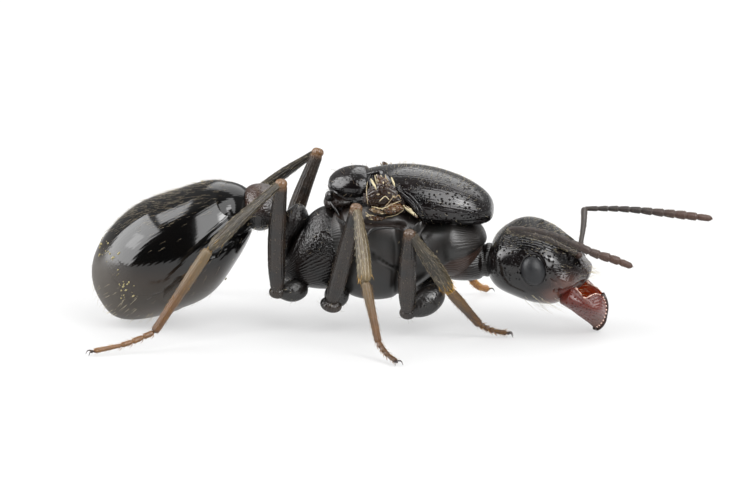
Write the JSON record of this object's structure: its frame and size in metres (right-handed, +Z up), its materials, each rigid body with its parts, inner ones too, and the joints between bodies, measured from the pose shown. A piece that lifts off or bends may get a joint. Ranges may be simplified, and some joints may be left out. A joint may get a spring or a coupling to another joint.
{
  "type": "harvester ant queen",
  "caption": "Still life-size harvester ant queen that has shed her wings: glossy black body, dark red jaws, bent feelers and legs, standing with her head lowered.",
  "frame": {"origin": "middle of the ant's footprint box, on the surface that she stands on", "axes": "+X towards the head, +Y towards her own left side, +Z up"},
  "size_m": [0.015, 0.0086, 0.0041],
  "materials": {
    "cuticle": "glossy black insect shell, finely pitted",
    "leg_cuticle": "satin dark brown insect shell with fine hairs",
    "foot": "satin orange brown insect shell with fine hairs",
    "feeler": "dull brown insect shell under dense short hair",
    "jaw": "glossy dark red insect shell, streaked",
    "eye": "satin dark grey, of many fine facets",
    "wing_scar": "torn brown wing root"
  },
  "bodies": {
    "root": {"eye_left": "eye", "eye_right": "eye", "mandible_left": "jaw", "mandible_right": "jaw", "head": "cuticle", "mesoscutum": "cuticle", "scutellum": "cuticle", "wing_scar_left": "wing_scar", "wing_scar_right": "wing_scar", "metanotum": "cuticle", "pronotum": "cuticle", "mesothorax": "cuticle", "propodeum": "cuticle", "neck": "cuticle", "postpetiole": "cuticle", "petiole": "cuticle", "gaster_tip": "cuticle", "gaster_fourth_ring": "cuticle", "gaster_third_ring": "cuticle", "gaster_first_tergite": "cuticle", "gaster_first_sternite": "cuticle", "scape_left": "feeler", "scape_right": "feeler", "funiculus_left": "feeler", "funiculus_right": "feeler", "coxa_front_right": "cuticle", "femur_front_right": "leg_cuticle", "tibia_front_right": "leg_cuticle", "tarsus_front_right": "foot", "coxa_front_left": "cuticle", "femur_front_left": "leg_cuticle", "tibia_front_left": "leg_cuticle", "tarsus_front_left": "foot", "coxa_mid_right": "cuticle", "femur_mid_right": "leg_cuticle", "tibia_mid_right": "leg_cuticle", "tarsus_mid_right": "foot", "coxa_mid_left": "cuticle", "femur_mid_left": "leg_cuticle", "tibia_mid_left": "leg_cuticle", "tarsus_mid_left": "foot", "coxa_hind_right": "cuticle", "femur_hind_right": "leg_cuticle", "tibia_hind_right": "leg_cuticle", "tarsus_hind_right": "foot", "coxa_hind_left": "cuticle", "femur_hind_left": "leg_cuticle", "tibia_hind_left": "leg_cuticle", "tarsus_hind_left": "foot"}
  },
  "joints": []
}
